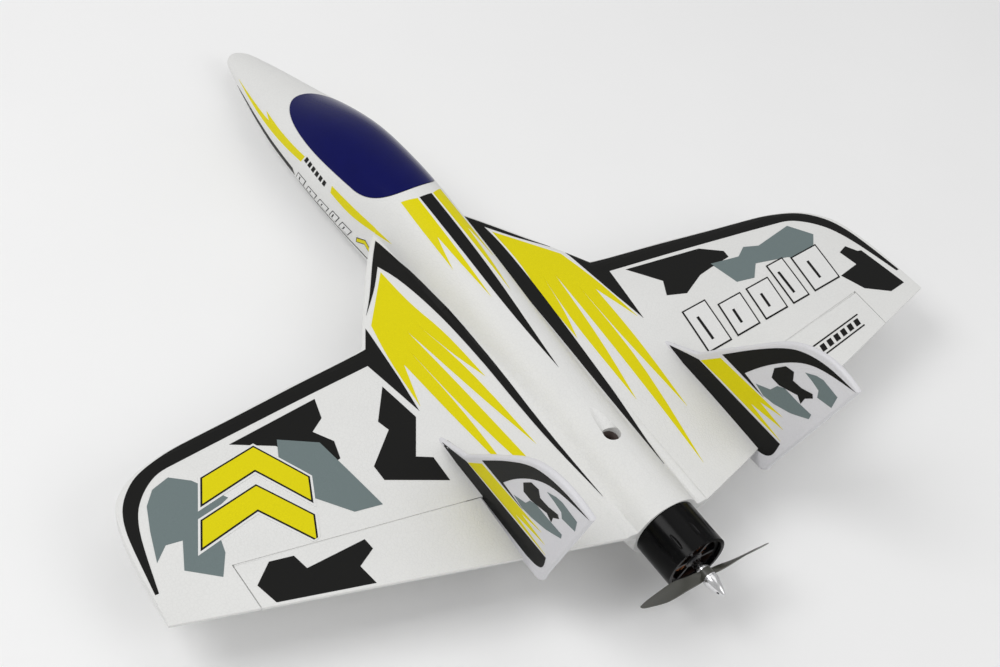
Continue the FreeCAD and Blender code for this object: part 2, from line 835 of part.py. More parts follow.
def make_motor_mount():
    """Plastic mount: a spigot glued into the tail, and a flange that carries motor and cowl."""
    flange = disc("mount_flange", "mount_radius", "tail_face_x", "mount_thickness")
    spigot = disc("mount_spigot", "spigot_radius", "tail_face_x + spigot_length", "spigot_length + 1")
    hollow = disc("mount_hollow", "spigot_radius - 2", "tail_face_x + spigot_length + 1", "spigot_length + 1")
    centre = disc("mount_centre", 8.0, "tail_face_x + 1", 10)
    tools = [hollow, centre]
    for k in range(4):
        turn = math.radians(45 + 90 * k)
        y, z = 12.5 * math.cos(turn), 12.5 * math.sin(turn)
        tools.append(disc(f"mount_screw_hole_{k}", 1.5, "tail_face_x + 1", 10, y, z))
    return subpart(cut("mount", fuse("mount_solid", flange, spigot), *tools), "motor_mount", THRUST)


def make_motor_screws():
    """Four cap screws through the mount into the motor's base."""
    screws = []
    for k in range(4):
        turn = math.radians(45 + 90 * k)
        y, z = 12.5 * math.cos(turn), 12.5 * math.sin(turn)
        head = disc(f"screw_head_{k}", 2.75, "tail_face_x + 3", 3, y, z)
        shank = disc(f"screw_shank_{k}", 1.5, "tail_face_x + 0.1", "mount_thickness + 3", y, z)
        socket = disc(f"screw_socket_{k}", 1.2, "tail_face_x + 3.1", 1.6, y, z)
        screws.append(cut(f"screw_{k}", fuse(f"screw_solid_{k}", head, shank), socket))
    group = DOC.addObject("Part::Compound", "motor_screw_group")
    group.Links = screws
    return subpart(group, "motor_screws", THRUST)


def make_motor_base():
    """Aluminium base plate with the tube that holds the bearings and stator."""
    front = "tail_face_x - mount_thickness"
    plate = disc("base_plate", 18.0, front, 3.0)
    tube = disc("base_tube", "bearing_tube", front, "-stator_front_x + stator_length + tail_face_x - mount_thickness")
    bore = disc("base_bore", "bearing_radius", "tail_face_x + 1", 60)
    tools = [bore]
    for k in range(4):
        turn = math.radians(45 + 90 * k)
        y, z = 12.5 * math.cos(turn), 12.5 * math.sin(turn)
        tools.append(disc(f"base_screw_hole_{k}", 1.5, "tail_face_x + 1", 20, y, z))
        turn = math.radians(90 * k)
        y, z = 13.5 * math.cos(turn), 13.5 * math.sin(turn)
        tools.append(disc(f"base_vent_{k}", 3.2, "tail_face_x + 1", 20, y, z))
    return subpart(cut("base", fuse("base_solid", plate, tube), *tools), "motor_base", THRUST)


def make_bearings():
    """Two ball bearings, one at each end of the tube."""
    rings = []
    for k, front in enumerate(("tail_face_x - mount_thickness", "stator_front_x - stator_length + 4")):
        outer = disc(f"bearing_outer_{k}", "bearing_radius", front, 4.0)
        inner = disc(f"bearing_inner_{k}", "shaft_radius + pivot_clearance", front + " + 1", 6.0)
        rings.append(cut(f"bearing_{k}", outer, inner))
    group = DOC.addObject("Part::Compound", "bearing_group")
    group.Links = rings
    return subpart(group, "motor_bearings", THRUST)


TEETH = 12


def tooth_box(low, high, half_width, front, back):
    return block((back, -half_width, low), (front, half_width, high))


def around_thrust(shape, count, start=0.0):
    copies = []
    for k in range(count):
        copy = shape.copy()
        copy.rotate(Vector(0, 0, 0), Vector(1, 0, 0), start + 360 * k / count)
        copies.append(copy)
    return copies


def make_stator():
    """Laminated iron core with twelve T-shaped teeth."""
    front = size("stator_front_x")
    back = front - size("stator_length")
    tip, hub = size("stator_radius"), size("stator_hub")
    length = size("stator_length")
    ring = Part.makeCylinder(hub, length, Vector(back, 0, 0), Vector(1, 0, 0))
    tooth = tooth_box(hub - 0.5, tip - 0.8, 1.1, front, back)
    shoe = tooth_box(tip - 2.0, tip + 1, 4.1, front, back)
    rim = Part.makeCylinder(tip, length, Vector(back, 0, 0), Vector(1, 0, 0))
    core = ring.fuse(around_thrust(tooth.fuse(shoe), TEETH)).common(rim)
    core = core.cut(Part.makeCylinder(size("bearing_tube"), length + 2, Vector(back - 1, 0, 0), Vector(1, 0, 0)))
    return subpart(feature("stator", core.removeSplitter()), "stator_core", THRUST)


def make_windings():
    """Copper coils, one round each tooth, standing out at both ends of the core."""
    front = size("stator_front_x")
    back = front - size("stator_length")
    hub, tip = size("stator_hub"), size("stator_radius")
    coils = []
    wraps = 4
    for k in range(wraps):
        low = hub + 0.4 + k * (tip - 2.4 - hub - 0.4) / wraps
        high = low + (tip - 2.4 - hub - 0.4) / wraps
        wide = 1.15 + (1.05 + 0.42 * k)
        outer = tooth_box(low, high, wide, front + 2.4, back - 3.4)
        rims = [edge for edge in outer.Edges if edge.BoundBox.XLength < 1e-3 and edge.BoundBox.YLength < 1e-3]
        outer = outer.makeFillet(0.9, rims)
        coils.append(outer.cut(tooth_box(low - 1, high + 1, 1.1, front, back)))
    coil = coils[0].fuse(coils[1:])
    group = Part.makeCompound(around_thrust(coil, TEETH))
    return subpart(feature("windings", group), "motor_windings", THRUST)


def make_bell():
    """Turning can of the outrunner, with a spoked end towards the propeller."""
    length = "bell_front_x - bell_end_x"
    can = disc("bell_can", "bell_radius", "bell_front_x", length)
    hollow = disc("bell_hollow", "bell_radius - bell_wall", "bell_front_x + 1", length + " - 1.2")
    inner = disc("bell_hub", 6.5, "bell_end_x + 5.0", 5.6)
    bore = disc("bell_bore", "shaft_radius", "bell_front_x + 1", 60)
    shell = cut("bell_shell", can, hollow)
    windows = []
    for k in range(6):
        item = DOC.addObject("PartDesign::Body", f"bell_window_{k}")
        low, high, spread = 7.8, 21.2, math.radians(25)
        cos, sin = math.cos(spread), math.sin(spread)
        profile = sketch(
            item,
            f"window_outline_{k}",
            "YZ_Plane",
            (low * sin, low * cos),
            [
                ((0, low), (-low * sin, low * cos)),
                (-high * sin, high * cos),
                ((0, high), (high * sin, high * cos)),
                (low * sin, low * cos),
            ],
        )
        pad(item, f"window_pad_{k}", profile, 12.0)
        item.Placement = Placement(Vector(size("bell_end_x"), 0, 0), Rotation(Vector(1, 0, 0), 60 * k))
        windows.append(item)
    return subpart(cut("bell", fuse("bell_solid", shell, inner), bore, *windows), "motor_bell", THRUST)


def make_magnets():
    """Ring of curved magnets glued inside the can."""
    outer = size("bell_radius") - size("bell_wall")
    inner = outer - size("magnet_thickness")
    front = size("stator_front_x")
    length = size("stator_length")
    ring = Part.makeCylinder(outer, length, Vector(front - length, 0, 0), Vector(1, 0, 0), 21)
    ring = ring.cut(Part.makeCylinder(inner, length + 2, Vector(front - length - 1, 0, 0), Vector(1, 0, 0)))
    group = Part.makeCompound(around_thrust(ring, 14))
    return subpart(feature("magnets", group), "motor_magnets", THRUST)


def make_shaft():
    """Steel shaft, with a flat ground on it for the bell's set screw."""
    rod = disc("shaft_rod", "shaft_radius", -266.5, 42.5)
    flat = box("shaft_flat", 4.0, 6.0, 2.0, "bell_end_x + 0.5", -3, "shaft_radius - 0.3")
    return subpart(cut("shaft", rod, flat), "motor_shaft", THRUST)


def make_adapter():
    """Collet on the motor shaft, with a flange and threaded stem for the propeller."""
    sleeve = disc("adapter_sleeve", 4.6, "hub_front_x + 9.5", 8.0)
    flange = disc("adapter_flange", 6.0, "hub_front_x + 1.8", 1.8)
    stem = disc("adapter_stem", "shaft_radius", "hub_front_x + 0.5", 17.0)
    bore = disc("adapter_bore", "shaft_radius", "hub_front_x + 10", 7.5)
    return subpart(cut("adapter", fuse("adapter_solid", sleeve, flange, stem), bore), "prop_adapter", THRUST)


def make_washer():
    outer = disc("washer_outer", 6.4, "hub_front_x - hub_length", 1.0)
    inner = disc("washer_inner", "shaft_radius", "hub_front_x", 12.0)
    return subpart(cut("washer", outer, inner), "prop_washer", THRUST)


# Propeller blade: radius as a part of the tip radius, chord, thickness
BLADE = [
    (0.07, 8.0, 5.0),
    (0.14, 10.5, 3.6),
    (0.24, 14.0, 2.6),
    (0.40, 16.5, 1.9),
    (0.58, 15.8, 1.5),
    (0.76, 12.6, 1.2),
    (0.90, 8.4, 0.95),
    (0.97, 4.6, 0.8),
    (1.00, 1.6, 0.6),
]


def blade_section(radius, chord, thickness):
    """Flat-bottomed section, set at the blade angle for a constant pitch."""
    angle = math.atan2(size("propeller_pitch"), 2 * math.pi * radius)
    angle = -min(angle, math.radians(48))
    shape = [(0.5, 0.0), (0.36, 0.45), (0.1, 0.75), (-0.2, 0.62), (-0.5, 0.0), (-0.2, -0.25), (0.2, -0.25)]
    points = []
    for along, up in shape:
        a, b = along * chord, up * thickness
        across = a * math.cos(angle) - b * math.sin(angle)
        axial = a * math.sin(angle) + b * math.cos(angle)
        points.append(Vector(axial, across, radius))
    curve = Part.BSplineCurve()
    curve.interpolate(Points=points, PeriodicFlag=True)
    return Part.Wire([curve.toShape()])


def make_propeller():
    """Two-bladed moulded propeller with a round hub."""
    tip = size("propeller_radius")
    blade = Part.makeLoft([blade_section(part * tip, c, d) for part, c, d in BLADE], True, False)
    front, length = size("hub_front_x"), size("hub_length")
    blade.translate(Vector(front - length / 2, 0, 0))
    hub = Part.makeCylinder(size("hub_radius"), length, Vector(front - length, 0, 0), Vector(1, 0, 0))
    bore = Part.makeCylinder(size("shaft_radius"), 30, Vector(front - 20, 0, 0), Vector(1, 0, 0))
    whole = hub.fuse(around_thrust(blade, 2)).cut(bore)
    whole = whole.common(block((front - length, -90, -90), (front, 90, 90)))
    turned = THRUST.multiply(Placement(Vector(0, 0, 0), Rotation(Vector(1, 0, 0), size("propeller_angle"))))
    return subpart(feature("propeller_shape", whole), "propeller", turned)


def make_spinner():
    """Bullet-shaped aluminium nut with a cross hole for tightening."""
    body = DOC.addObject("PartDesign::Body", "spinner_body")
    base = size("hub_front_x") - size("hub_length") - 1.0
    tip = size("spinner_x")
    profile = sketch(
        body,
        "spinner_outline",
        "XZ_Plane",
        (base, 2.5),
        [
            (base, 6.0),
            (base - 0.5, 6.5),
            (base - 2.0, 6.5),
            ((base - 10.5, 4.7), (tip + 1.6, 2.0)),
            ((tip + 0.5, 1.4), (tip, 0.6)),
            (tip, 0),
            (base - 11.0, 0),
            (base - 9.6, 2.5),
            (base, 2.5),
        ],
    )
    revolution(body, "spinner_turned", profile)
    hole = cylinder("spinner_hole", 1.1, 20.0, "spinner_x + 4.2", -10, 0, ALONG_Y)
    return subpart(cut("spinner", body, hole), "spinner_nut", THRUST)


def make_cowl():
    """Plastic cowl round the motor, with three pressed hollows and a rolled rear lip."""
    length = "tail_face_x - cowl_end_x"
    outer = disc("cowl_outer", "cowl_radius", "tail_face_x", length)
    inner = disc("cowl_inner", "cowl_radius - cowl_wall", "tail_face_x + 1", length + " - 0.4")
    mouth = disc("cowl_mouth", "cowl_radius - cowl_wall - 0.8", "tail_face_x + 1", 60)
    hollows = []
    for k, degrees in enumerate((51.5, 90, 128.5)):
        turn = math.radians(degrees)
        hollow = DOC.addObject("Part::Ellipsoid", f"cowl_hollow_{k}")
        bind(hollow, Radius1=2.3, Radius2=9.5, Radius3=1.6)
        away = size("cowl_radius") + 0.9
        centre = Vector(size("cowl_end_x") + 14.5, away * math.cos(turn), away * math.sin(turn))
        hollow.Placement = Placement(centre, Rotation(Vector(1, 0, 0), degrees))
        hollows.append(hollow)
    shell = cut("cowl_shell", outer, inner, mouth, *hollows)
    return subpart(shell, "motor_cowl", THRUST)


# ---------------------------------------------------------------- canopy and radio gear


def make_canopy(half):
    """Lift-off canopy hatch in one piece of foam, hollowed over the battery."""
    side = half.common(canopy_space(size("body_clearance")))
    whole = side.fuse(side.mirror(Vector(0, 0, 0), Vector(0, 1, 0))).removeSplitter()
    pocket = block((156, -19, -20), (214, 19, 19))
    peg = Part.makeCylinder(PEG_RADIUS, 20, Vector(PEG_X, 0, -8), Vector(0, 0, 1))
    tongue = block((LATCH_X - 4, -2.0, 0), (LATCH_X + 4, 2.0, 26))
    whole = whole.cut([pocket, peg.common(block((200, -9, -9), (300, 9, 3.0)))])
    return subpart(feature("canopy_foam", whole.cut(tongue)), "canopy", AIRFRAME)


def make_peg():
    """Locating peg at the front of the canopy."""
    peg = cylinder("peg_shank", PEG_RADIUS, PEG_DEPTH + 2.8, PEG_X, 0, -PEG_DEPTH + 0.2)
    return subpart(fuse("canopy_peg_solid", peg, cylinder("peg_tip", 2.2, 2.0, PEG_X, 0, -PEG_DEPTH)), "canopy_peg", AIRFRAME)


def make_latch_tongue():
    """Springy tongue of the canopy latch, with a small barb on each side."""
    body = DOC.addObject("PartDesign::Body", "latch_tongue_body")
    profile = sketch(
        body,
        "tongue_outline",
        "XZ_Plane",
        (-4, 26),
        [(4, 26), (4, 8), (4.6, 7), (3, 4), (-3, 4), (-4.6, 7), (-4, 8), (-4, 26)],
    )
    pad(body, "tongue_pad", profile, 4.0)
    frame = AIRFRAME.multiply(Placement(Vector(LATCH_X, 0, 0), Rotation()))
    return subpart(body, "canopy_latch_tongue", frame)


def make_latch_catch():
    """Catch of the canopy latch, glued into the fuselage."""
    outer = box("catch_outer", 16.0, 12.0, LATCH_TOP, LATCH_X - 8, -6, 0)
    slot = box("catch_slot", 10.0, 4.8, 20.0, LATCH_X - 5.0, -2.4, 2)
    return subpart(cut("catch", outer, slot), "canopy_latch_catch", AIRFRAME)


def rounded_box(name, length, width, height, radius, x, y, z):
    solid = box(name + "_block", length, width, height, x, y, z)
    DOC.recompute()
    item = DOC.addObject("Part::Fillet", name + "_rounded")
    item.Base = solid
    item.Edges = [(number, radius, radius) for number in range(1, len(solid.Shape.Edges) + 1)]
    return item


def make_battery():
    item = rounded_box(
        "battery",
        "battery_length",
        "battery_width",
        "battery_height",
        3.0,
        "bay_rear_x + 8",
        "-battery_width / 2",
        "bay_floor_z + 1.2",
    )
    return subpart(item, "battery", AIRFRAME)


def make_strap():
    """Hook-and-loop strap round the battery."""
    outer = box(
        "strap_outer", 20.0, "battery_width + 2.4", "battery_height + 2.4", 205, "-battery_width / 2 - 1.2", "bay_floor_z"
    )
    inner = box(
        "strap_inner", 30.0, "battery_width", "battery_height", 200, "-battery_width / 2", "bay_floor_z + 1.2"
    )
    return subpart(cut("strap", outer, inner), "battery_strap", AIRFRAME)


def make_receiver():
    item = rounded_box("receiver", 42.0, 24.0, 13.0, 1.5, 46, -12, "tunnel_floor_z")
    return subpart(item, "receiver", AIRFRAME)


def make_controller():
    item = rounded_box("controller", 50.0, 27.0, 9.0, 1.5, 94, -13.5, "tunnel_floor_z")
    return subpart(item, "speed_controller", AIRFRAME)


# ---------------------------------------------------------------- assembly

fin = make_fin()
servo = make_servo()
linkage = [make_servo_output(), make_servo_arm(), make_arm_screw(), make_pushrod()]
linkage += [make_connector(), make_grub_screw()]
horn = make_horn()
DOC.recompute()


def from_airframe(item):
    """A finished sub-part's shape, moved back to the datum for cutting foam."""
    shape = item.Shape.copy()
    shape.translate(-DATUM)
    return shape


shell_half = half_body()
space = canopy_space(0)
fuselage_shape = shell_half.cut(space).cut(fuselage_bays() + [spar_hole()])
fuselage_left = subpart(feature("fuselage_foam", fuselage_shape), "fuselage_left", AIRFRAME)

panel = whole_wing()
fin_shape = from_airframe(fin)
wing_shape = panel.cut([elevon_cutout(), fin_shape, spar_hole()] + servo_well())
wing_left = subpart(feature("wing_foam", wing_shape), "wing_left", AIRFRAME)

elevon_shape = panel.common(elevon_plan()).cut([bevel_wedge(), from_airframe(horn)])
elevon_left = subpart(feature("elevon_foam", elevon_shape), "elevon_left", AIRFRAME)

for item in [fuselage_left, wing_left, elevon_left, fin, servo, *linkage, horn]:
    mirrored(item, item.Label.replace("_left", "_right"))

spar = cylinder("spar_rod", "spar_radius", "spar_length", "spar_x", "-spar_length / 2", "spar_z", ALONG_Y)
spar_bore = cylinder(
    "spar_bore", "spar_radius - 0.6", "spar_length + 2", "spar_x", "-spar_length / 2 - 1", "spar_z", ALONG_Y
)
subpart(cut("spar", spar, spar_bore), "wing_spar_tube", AIRFRAME)

make_canopy(shell_half)
for make in (
    make_peg,
    make_latch_tongue,
    make_latch_catch,
    make_motor_mount,
    make_motor_screws,
    make_motor_base,
    make_bearings,
    make_stator,
    make_windings,
    make_bell,
    make_magnets,
    make_shaft,
    make_adapter,
    make_washer,
    make_propeller,
    make_spinner,
    make_cowl,
    make_battery,
    make_strap,
    make_receiver,
    make_controller,
):
    make()
DOC.recompute()

# ---------------------------------------------------------------- checks and files

for item in DOC.Objects:
    if {"Invalid", "Error"} & set(item.State):
        raise RuntimeError(f"{item.Label} failed: {item.State}")
for item in SUBPARTS:
    if item.Shape.isNull() or not item.Shape.isValid() or not item.Shape.Solids:
        raise RuntimeError(f"{item.Label} has no valid solid")

os.makedirs("parts", exist_ok=True)
for item in SUBPARTS:
    item.Shape.exportStep(f"parts/{item.Label}.step")
    solids = item.Shape.Solids
    print(f"{item.Label}: {len(solids)} solid, {sum(s.Volume for s in solids):.0f} mm3")
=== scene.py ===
"""Looks of the foam jet model: foam, decals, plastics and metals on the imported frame.

Metres, in the row frame: +X to the nose, +Y to the left wing tip, +Z up. Decal outlines are
written in millimetres about the datum, where the strake meets the outer wing.
"""

import math

import bpy
from mathutils import Matrix, Vector
from mathutils.bvhtree import BVHTree
from mathutils.geometry import delaunay_2d_cdt


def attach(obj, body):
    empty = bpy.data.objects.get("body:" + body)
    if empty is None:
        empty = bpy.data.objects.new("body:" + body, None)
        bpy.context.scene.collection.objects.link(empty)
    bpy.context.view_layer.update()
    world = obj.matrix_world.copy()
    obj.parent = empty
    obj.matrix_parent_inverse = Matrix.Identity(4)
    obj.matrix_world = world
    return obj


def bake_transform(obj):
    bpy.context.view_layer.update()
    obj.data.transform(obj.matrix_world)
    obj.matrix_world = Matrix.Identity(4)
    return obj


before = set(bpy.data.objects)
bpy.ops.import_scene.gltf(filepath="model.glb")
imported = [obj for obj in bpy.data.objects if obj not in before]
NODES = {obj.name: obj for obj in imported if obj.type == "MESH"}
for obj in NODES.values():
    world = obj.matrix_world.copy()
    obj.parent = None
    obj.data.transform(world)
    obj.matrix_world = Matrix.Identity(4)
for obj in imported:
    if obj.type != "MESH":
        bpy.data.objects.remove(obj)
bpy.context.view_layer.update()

DATUM = Vector((-37.5, 0.0, 65.0))
MM = 0.001

# ---------------------------------------------------------------- node helpers


def new_material(name):
    """Material with an empty node tree but for its Principled shader; returns tree and shader."""
    material = bpy.data.materials.new(name)
    material.use_nodes = True
    tree = material.node_tree
    shader = tree.nodes["Principled BSDF"]
    return material, tree, shader


def add(tree, kind, **values):
    node = tree.nodes.new(kind)
    for name, value in values.items():
        if name in node.inputs:
            node.inputs[name].default_value = value
        else:
            setattr(node, name, value)
    return node


def coordinates(tree, scale=(1, 1, 1)):
    """Object coordinates in metres, scaled."""
    place = add(tree, "ShaderNodeTexCoord")
    mapping = add(tree, "ShaderNodeMapping", Scale=scale)
    tree.links.new(place.outputs["Object"], mapping.inputs["Vector"])
    return mapping.outputs["Vector"]


def ramp(tree, factor, stops):
    """Colour ramp; each stop is a position and a colour."""
    node = add(tree, "ShaderNodeValToRGB")
    elements = node.color_ramp.elements
    while len(elements) < len(stops):
        elements.new(0.5)
    for element, (position, colour) in zip(elements, stops):
        element.position = position
        element.color = (*colour, 1)
    tree.links.new(factor, node.inputs["Fac"])
    return node.outputs["Color"]


def noise(tree, vector, scale, detail=3.0, roughness=0.55):
    node = add(tree, "ShaderNodeTexNoise", Scale=scale, Detail=detail, Roughness=roughness)
    tree.links.new(vector, node.inputs["Vector"])
    return node.outputs["Fac"]


def bump(tree, shader, height, strength, distance, normal=None):
    node = add(tree, "ShaderNodeBump", Strength=strength, Distance=distance)
    tree.links.new(height, node.inputs["Height"])
    if normal:
        tree.links.new(normal, node.inputs["Normal"])
    tree.links.new(node.outputs["Normal"], shader.inputs["Normal"])
    return node.outputs["Normal"]


def shade(colour, factor):
    return tuple(min(channel * factor, 1.0) for channel in colour)


def plain(name, colour, roughness, variation=0.12, grain=900.0, depth=0.00002, gloss=0.5):
    """Moulded or machined surface: a base colour with slight mottling and a fine grain."""
    material, tree, shader = new_material(name)
    vector = coordinates(tree)
    mottle = noise(tree, vector, 60.0)
    low, high = shade(colour, 1 - variation), shade(colour, 1 + variation)
    tree.links.new(ramp(tree, mottle, [(0.3, low), (0.7, high)]), shader.inputs["Base Color"])
    shader.inputs["Roughness"].default_value = roughness
    shader.inputs["Specular IOR Level"].default_value = gloss
    bump(tree, shader, noise(tree, vector, grain), 0.25, depth)
    return material


# ---------------------------------------------------------------- materials


def foam_material(name, colour, bead=330.0, strength=0.32):
    """Moulded bead foam: rounded cells a few millimetres across with darker joints between them."""
    material, tree, shader = new_material(name)
    vector = coordinates(tree)
    cells = add(tree, "ShaderNodeTexVoronoi", Scale=bead, Randomness=1.0)
    cells.feature = "DISTANCE_TO_EDGE"
    tree.links.new(vector, cells.inputs["Vector"])
    joint = add(tree, "ShaderNodeMapRange")
    joint.inputs["From Max"].default_value = 0.10
    tree.links.new(cells.outputs["Distance"], joint.inputs["Value"])
    seam = ramp(tree, joint.outputs["Result"], [(0.0, shade(colour, 0.965)), (1.0, colour)])
    clouds = ramp(tree, noise(tree, vector, 14.0), [(0.3, (0.97, 0.97, 0.97)), (0.7, (1, 1, 1))])
    mix = add(tree, "ShaderNodeMix", data_type="RGBA", blend_type="MULTIPLY")
    mix.inputs["Factor"].default_value = 1.0
    tree.links.new(seam, mix.inputs["A"])
    tree.links.new(clouds, mix.inputs["B"])
    tree.links.new(mix.outputs["Result"], shader.inputs["Base Color"])
    shader.inputs["Roughness"].default_value = 0.48
    shader.inputs["Specular IOR Level"].default_value = 0.42
    coarse = bump(tree, shader, joint.outputs["Result"], strength, 0.00025)
    bump(tree, shader, noise(tree, vector, 1500.0), 0.25, 0.0001, coarse)
    return material


def vinyl_material(name, colour, roughness=0.42, gloss=0.35):
    """Printed sticker film that takes on some of the beads beneath it."""
    material, tree, shader = new_material(name)
    vector = coordinates(tree)
    speckle = noise(tree, vector, 2600.0, 2.0)
    low, high = shade(colour, 0.9), shade(colour, 1.06)
    tree.links.new(ramp(tree, speckle, [(0.35, low), (0.65, high)]), shader.inputs["Base Color"])
    shader.inputs["Roughness"].default_value = roughness
    shader.inputs["Specular IOR Level"].default_value = gloss
    cells = add(tree, "ShaderNodeTexVoronoi", Scale=330.0)
    tree.links.new(vector, cells.inputs["Vector"])
    bump(tree, shader, cells.outputs["Distance"], 0.12, 0.0002)
    return material


def metal_material(name, colour, roughness, axis_scale=(40, 3000, 3000), depth=0.00001):
    """Turned or drawn metal with fine marks along or round it."""
    material, tree, shader = new_material(name)
    vector = coordinates(tree, axis_scale)
    marks = noise(tree, vector, 1.0, 2.0)
    low, high = shade(colour, 0.85), shade(colour, 1.1)
    tree.links.new(ramp(tree, marks, [(0.3, low), (0.7, high)]), shader.inputs["Base Color"])
    shader.inputs["Metallic"].default_value = 1.0
    shader.inputs["Roughness"].default_value = roughness
    bump(tree, shader, marks, 0.3, depth)
    return material


def copper_material(name):
    """Enamelled copper wire laid turn by turn."""
    material, tree, shader = new_material(name)
    vector = coordinates(tree)
    wave = add(tree, "ShaderNodeTexWave", Scale=420.0, Distortion=1.5, Detail=1.0)
    wave.bands_direction = "X"
    tree.links.new(vector, wave.inputs["Vector"])
    colour = ramp(tree, wave.outputs["Fac"], [(0.1, (0.10, 0.03, 0.01)), (0.7, (0.50, 0.19, 0.07))])
    tree.links.new(colour, shader.inputs["Base Color"])
    shader.inputs["Metallic"].default_value = 0.85
    shader.inputs["Roughness"].default_value = 0.35
    bump(tree, shader, wave.outputs["Fac"], 0.6, 0.0003)
    return material


def iron_material(name):
    """Stack of thin laminations, seen edge on."""
    material, tree, shader = new_material(name)
    vector = coordinates(tree)
    wave = add(tree, "ShaderNodeTexWave", Scale=900.0)
    wave.bands_direction = "X"
    tree.links.new(vector, wave.inputs["Vector"])
    colour = ramp(tree, wave.outputs["Fac"], [(0.0, (0.05, 0.05, 0.055)), (1.0, (0.2, 0.2, 0.21))])
    tree.links.new(colour, shader.inputs["Base Color"])
    shader.inputs["Metallic"].default_value = 0.9
    shader.inputs["Roughness"].default_value = 0.45
    bump(tree, shader, wave.outputs["Fac"], 0.4, 0.0001)
    return material


def strap_material(name):
    """Woven hook-and-loop strap."""
    material, tree, shader = new_material(name)
    vector = coordinates(tree)
    weave = add(tree, "ShaderNodeTexChecker", Scale=1400.0)
    weave.inputs["Color1"].default_value = (0.012, 0.012, 0.014, 1)
    weave.inputs["Color2"].default_value = (0.04, 0.04, 0.045, 1)
    tree.links.new(vector, weave.inputs["Vector"])
    tree.links.new(weave.outputs["Color"], shader.inputs["Base Color"])
    shader.inputs["Roughness"].default_value = 0.9
    shader.inputs["Sheen Weight"].default_value = 0.3
    bump(tree, shader, weave.outputs["Fac"], 0.6, 0.0003)
    return material


WHITE = (0.80, 0.80, 0.785)
# The fin colour is the white foam made darker and lavender: painted shade of the fins' upright faces
FIN_SHADED_WHITE = (0.74, 0.735, 0.76)
MATERIALS = {
    "foam": foam_material("foam_white", WHITE),
    "fin_foam_shaded": foam_material("foam_fin_painted_shade", FIN_SHADED_WHITE, 380.0),
    "canopy": plain("canopy_paint", (0.003, 0.0045, 0.082), 0.18, 0.05, depth=0.00001, gloss=0.13),
    "cowl": plain("cowl_plastic", (0.003, 0.003, 0.0032), 0.2, 0.05, depth=0.000008, gloss=0.1),
    "black": plain("black_plastic", (0.022, 0.022, 0.024), 0.42),
    "nylon": plain("white_nylon", (0.66, 0.65, 0.61), 0.38),
    "propeller": plain("propeller_plastic", (0.050, 0.050, 0.040), 0.34, 0.1, grain=1600.0),
    "carbon": plain("carbon_tube", (0.014, 0.014, 0.015), 0.30, grain=2200.0),
    "wrap": plain("battery_wrap", (0.03, 0.08, 0.30), 0.28, variation=0.06),
    "aluminium": metal_material("polished_aluminium", (0.80, 0.80, 0.81), 0.16),
    "motor": metal_material("motor_aluminium", (0.55, 0.55, 0.57), 0.35),
    "steel": metal_material("steel", (0.48, 0.48, 0.50), 0.27),
    "brass": metal_material("brass", (0.62, 0.42, 0.14), 0.25),
    "bell": metal_material("bell_enamel", (0.06, 0.06, 0.062), 0.38),
    "copper": copper_material("copper_wire"),
    "iron": iron_material("iron_core"),
    "strap": strap_material("strap_weave"),
    # Dark brown for the tube in the scoop: painted shade of the hollow inside it
    "scoop_painted_shade": plain("scoop_painted_shade_dark", (0.050, 0.030, 0.025), 0.6),
    "decal_black": vinyl_material("film_black", (0.0075, 0.0075, 0.007), 0.5, 0.14),
    "decal_yellow": vinyl_material("film_yellow", (0.76, 0.67, 0.002), 0.5, 0.12),
    "decal_grey": vinyl_material("film_grey", (0.160, 0.205, 0.207), 0.5, 0.2),
    "decal_white": vinyl_material("film_white", (0.80, 0.80, 0.79)),
}
BLACK, YELLOW, GREY, PAPER = "decal_black", "decal_yellow", "decal_grey", "decal_white"

NODE_LOOKS = {
    "canopy": "canopy",
    "canopy_peg": "black",
    "canopy_latch_tongue": "black",
    "canopy_latch_catch": "black",
    "wing_spar_tube": "carbon",
    "motor_mount": "black",
    "motor_screws": "steel",
    "motor_base": "motor",
    "motor_bearings": "steel",
    "stator_core": "iron",
    "motor_windings": "copper",
    "motor_cowl": "cowl",
    "battery": "wrap",
    "battery_strap": "strap",
    "receiver": "black",
    "speed_controller": "black",
    "motor_bell": "bell",
    "motor_magnets": "steel",
    "motor_shaft": "steel",
    "prop_adapter": "aluminium",
    "prop_washer": "aluminium",
    "propeller": "propeller",
    "spinner_nut": "aluminium",
}
PAIRED_LOOKS = {
    "fin": "fin_foam_shaded",
    "servo": "black",
    "servo_output": "nylon",
    "servo_arm": "nylon",
    "servo_arm_screw": "steel",
    "pushrod": "steel",
    "rod_connector": "brass",
    "grub_screw": "steel",
    "control_horn": "nylon",
}
for stem, look in PAIRED_LOOKS.items():
    for side in ("left", "right"):
        NODE_LOOKS[f"{stem}_{side}"] = look


def dress(name, node):
    """Put a node's material in every slot of its mesh."""
    material = MATERIALS[NODE_LOOKS.get(name, "foam")]
    if not node.material_slots:
        node.data.materials.append(material)
    for used in node.material_slots:
        used.material = material


for name, node in NODES.items():
    dress(name, node)

# ---------------------------------------------------------------- decals


def node_tree(name):
    mesh = NODES[name].data
    corners = [vertex.co.copy() for vertex in mesh.vertices]
    return BVHTree.FromPolygons(corners, [tuple(face.vertices) for face in mesh.polygons])


TREES = {}


def surface_tree(name):
    if name not in TREES:
        TREES[name] = node_tree(name)
    return TREES[name]


class Plane:
    """A drawing plane in the row frame: two axes in it, and the direction rays are cast."""

    def __init__(self, origin, across, up, cast):
        self.origin = Vector(origin)
        self.across = Vector(across)
        self.up = Vector(up)
        self.cast = Vector(cast)

    def point(self, a, b):
        return self.origin + self.across * a + self.up * b


PLAN = Plane((-37.5, 0, 265), (1, 0, 0), (0, 1, 0), (0, 0, -1))
SIDE_LEFT = Plane((-37.5, 200, 65), (1, 0, 0), (0, 0, 1), (0, -1, 0))
SIDE_RIGHT = Plane((-37.5, -200, 65), (1, 0, 0), (0, 0, 1), (0, 1, 0))
STEP = 4.0
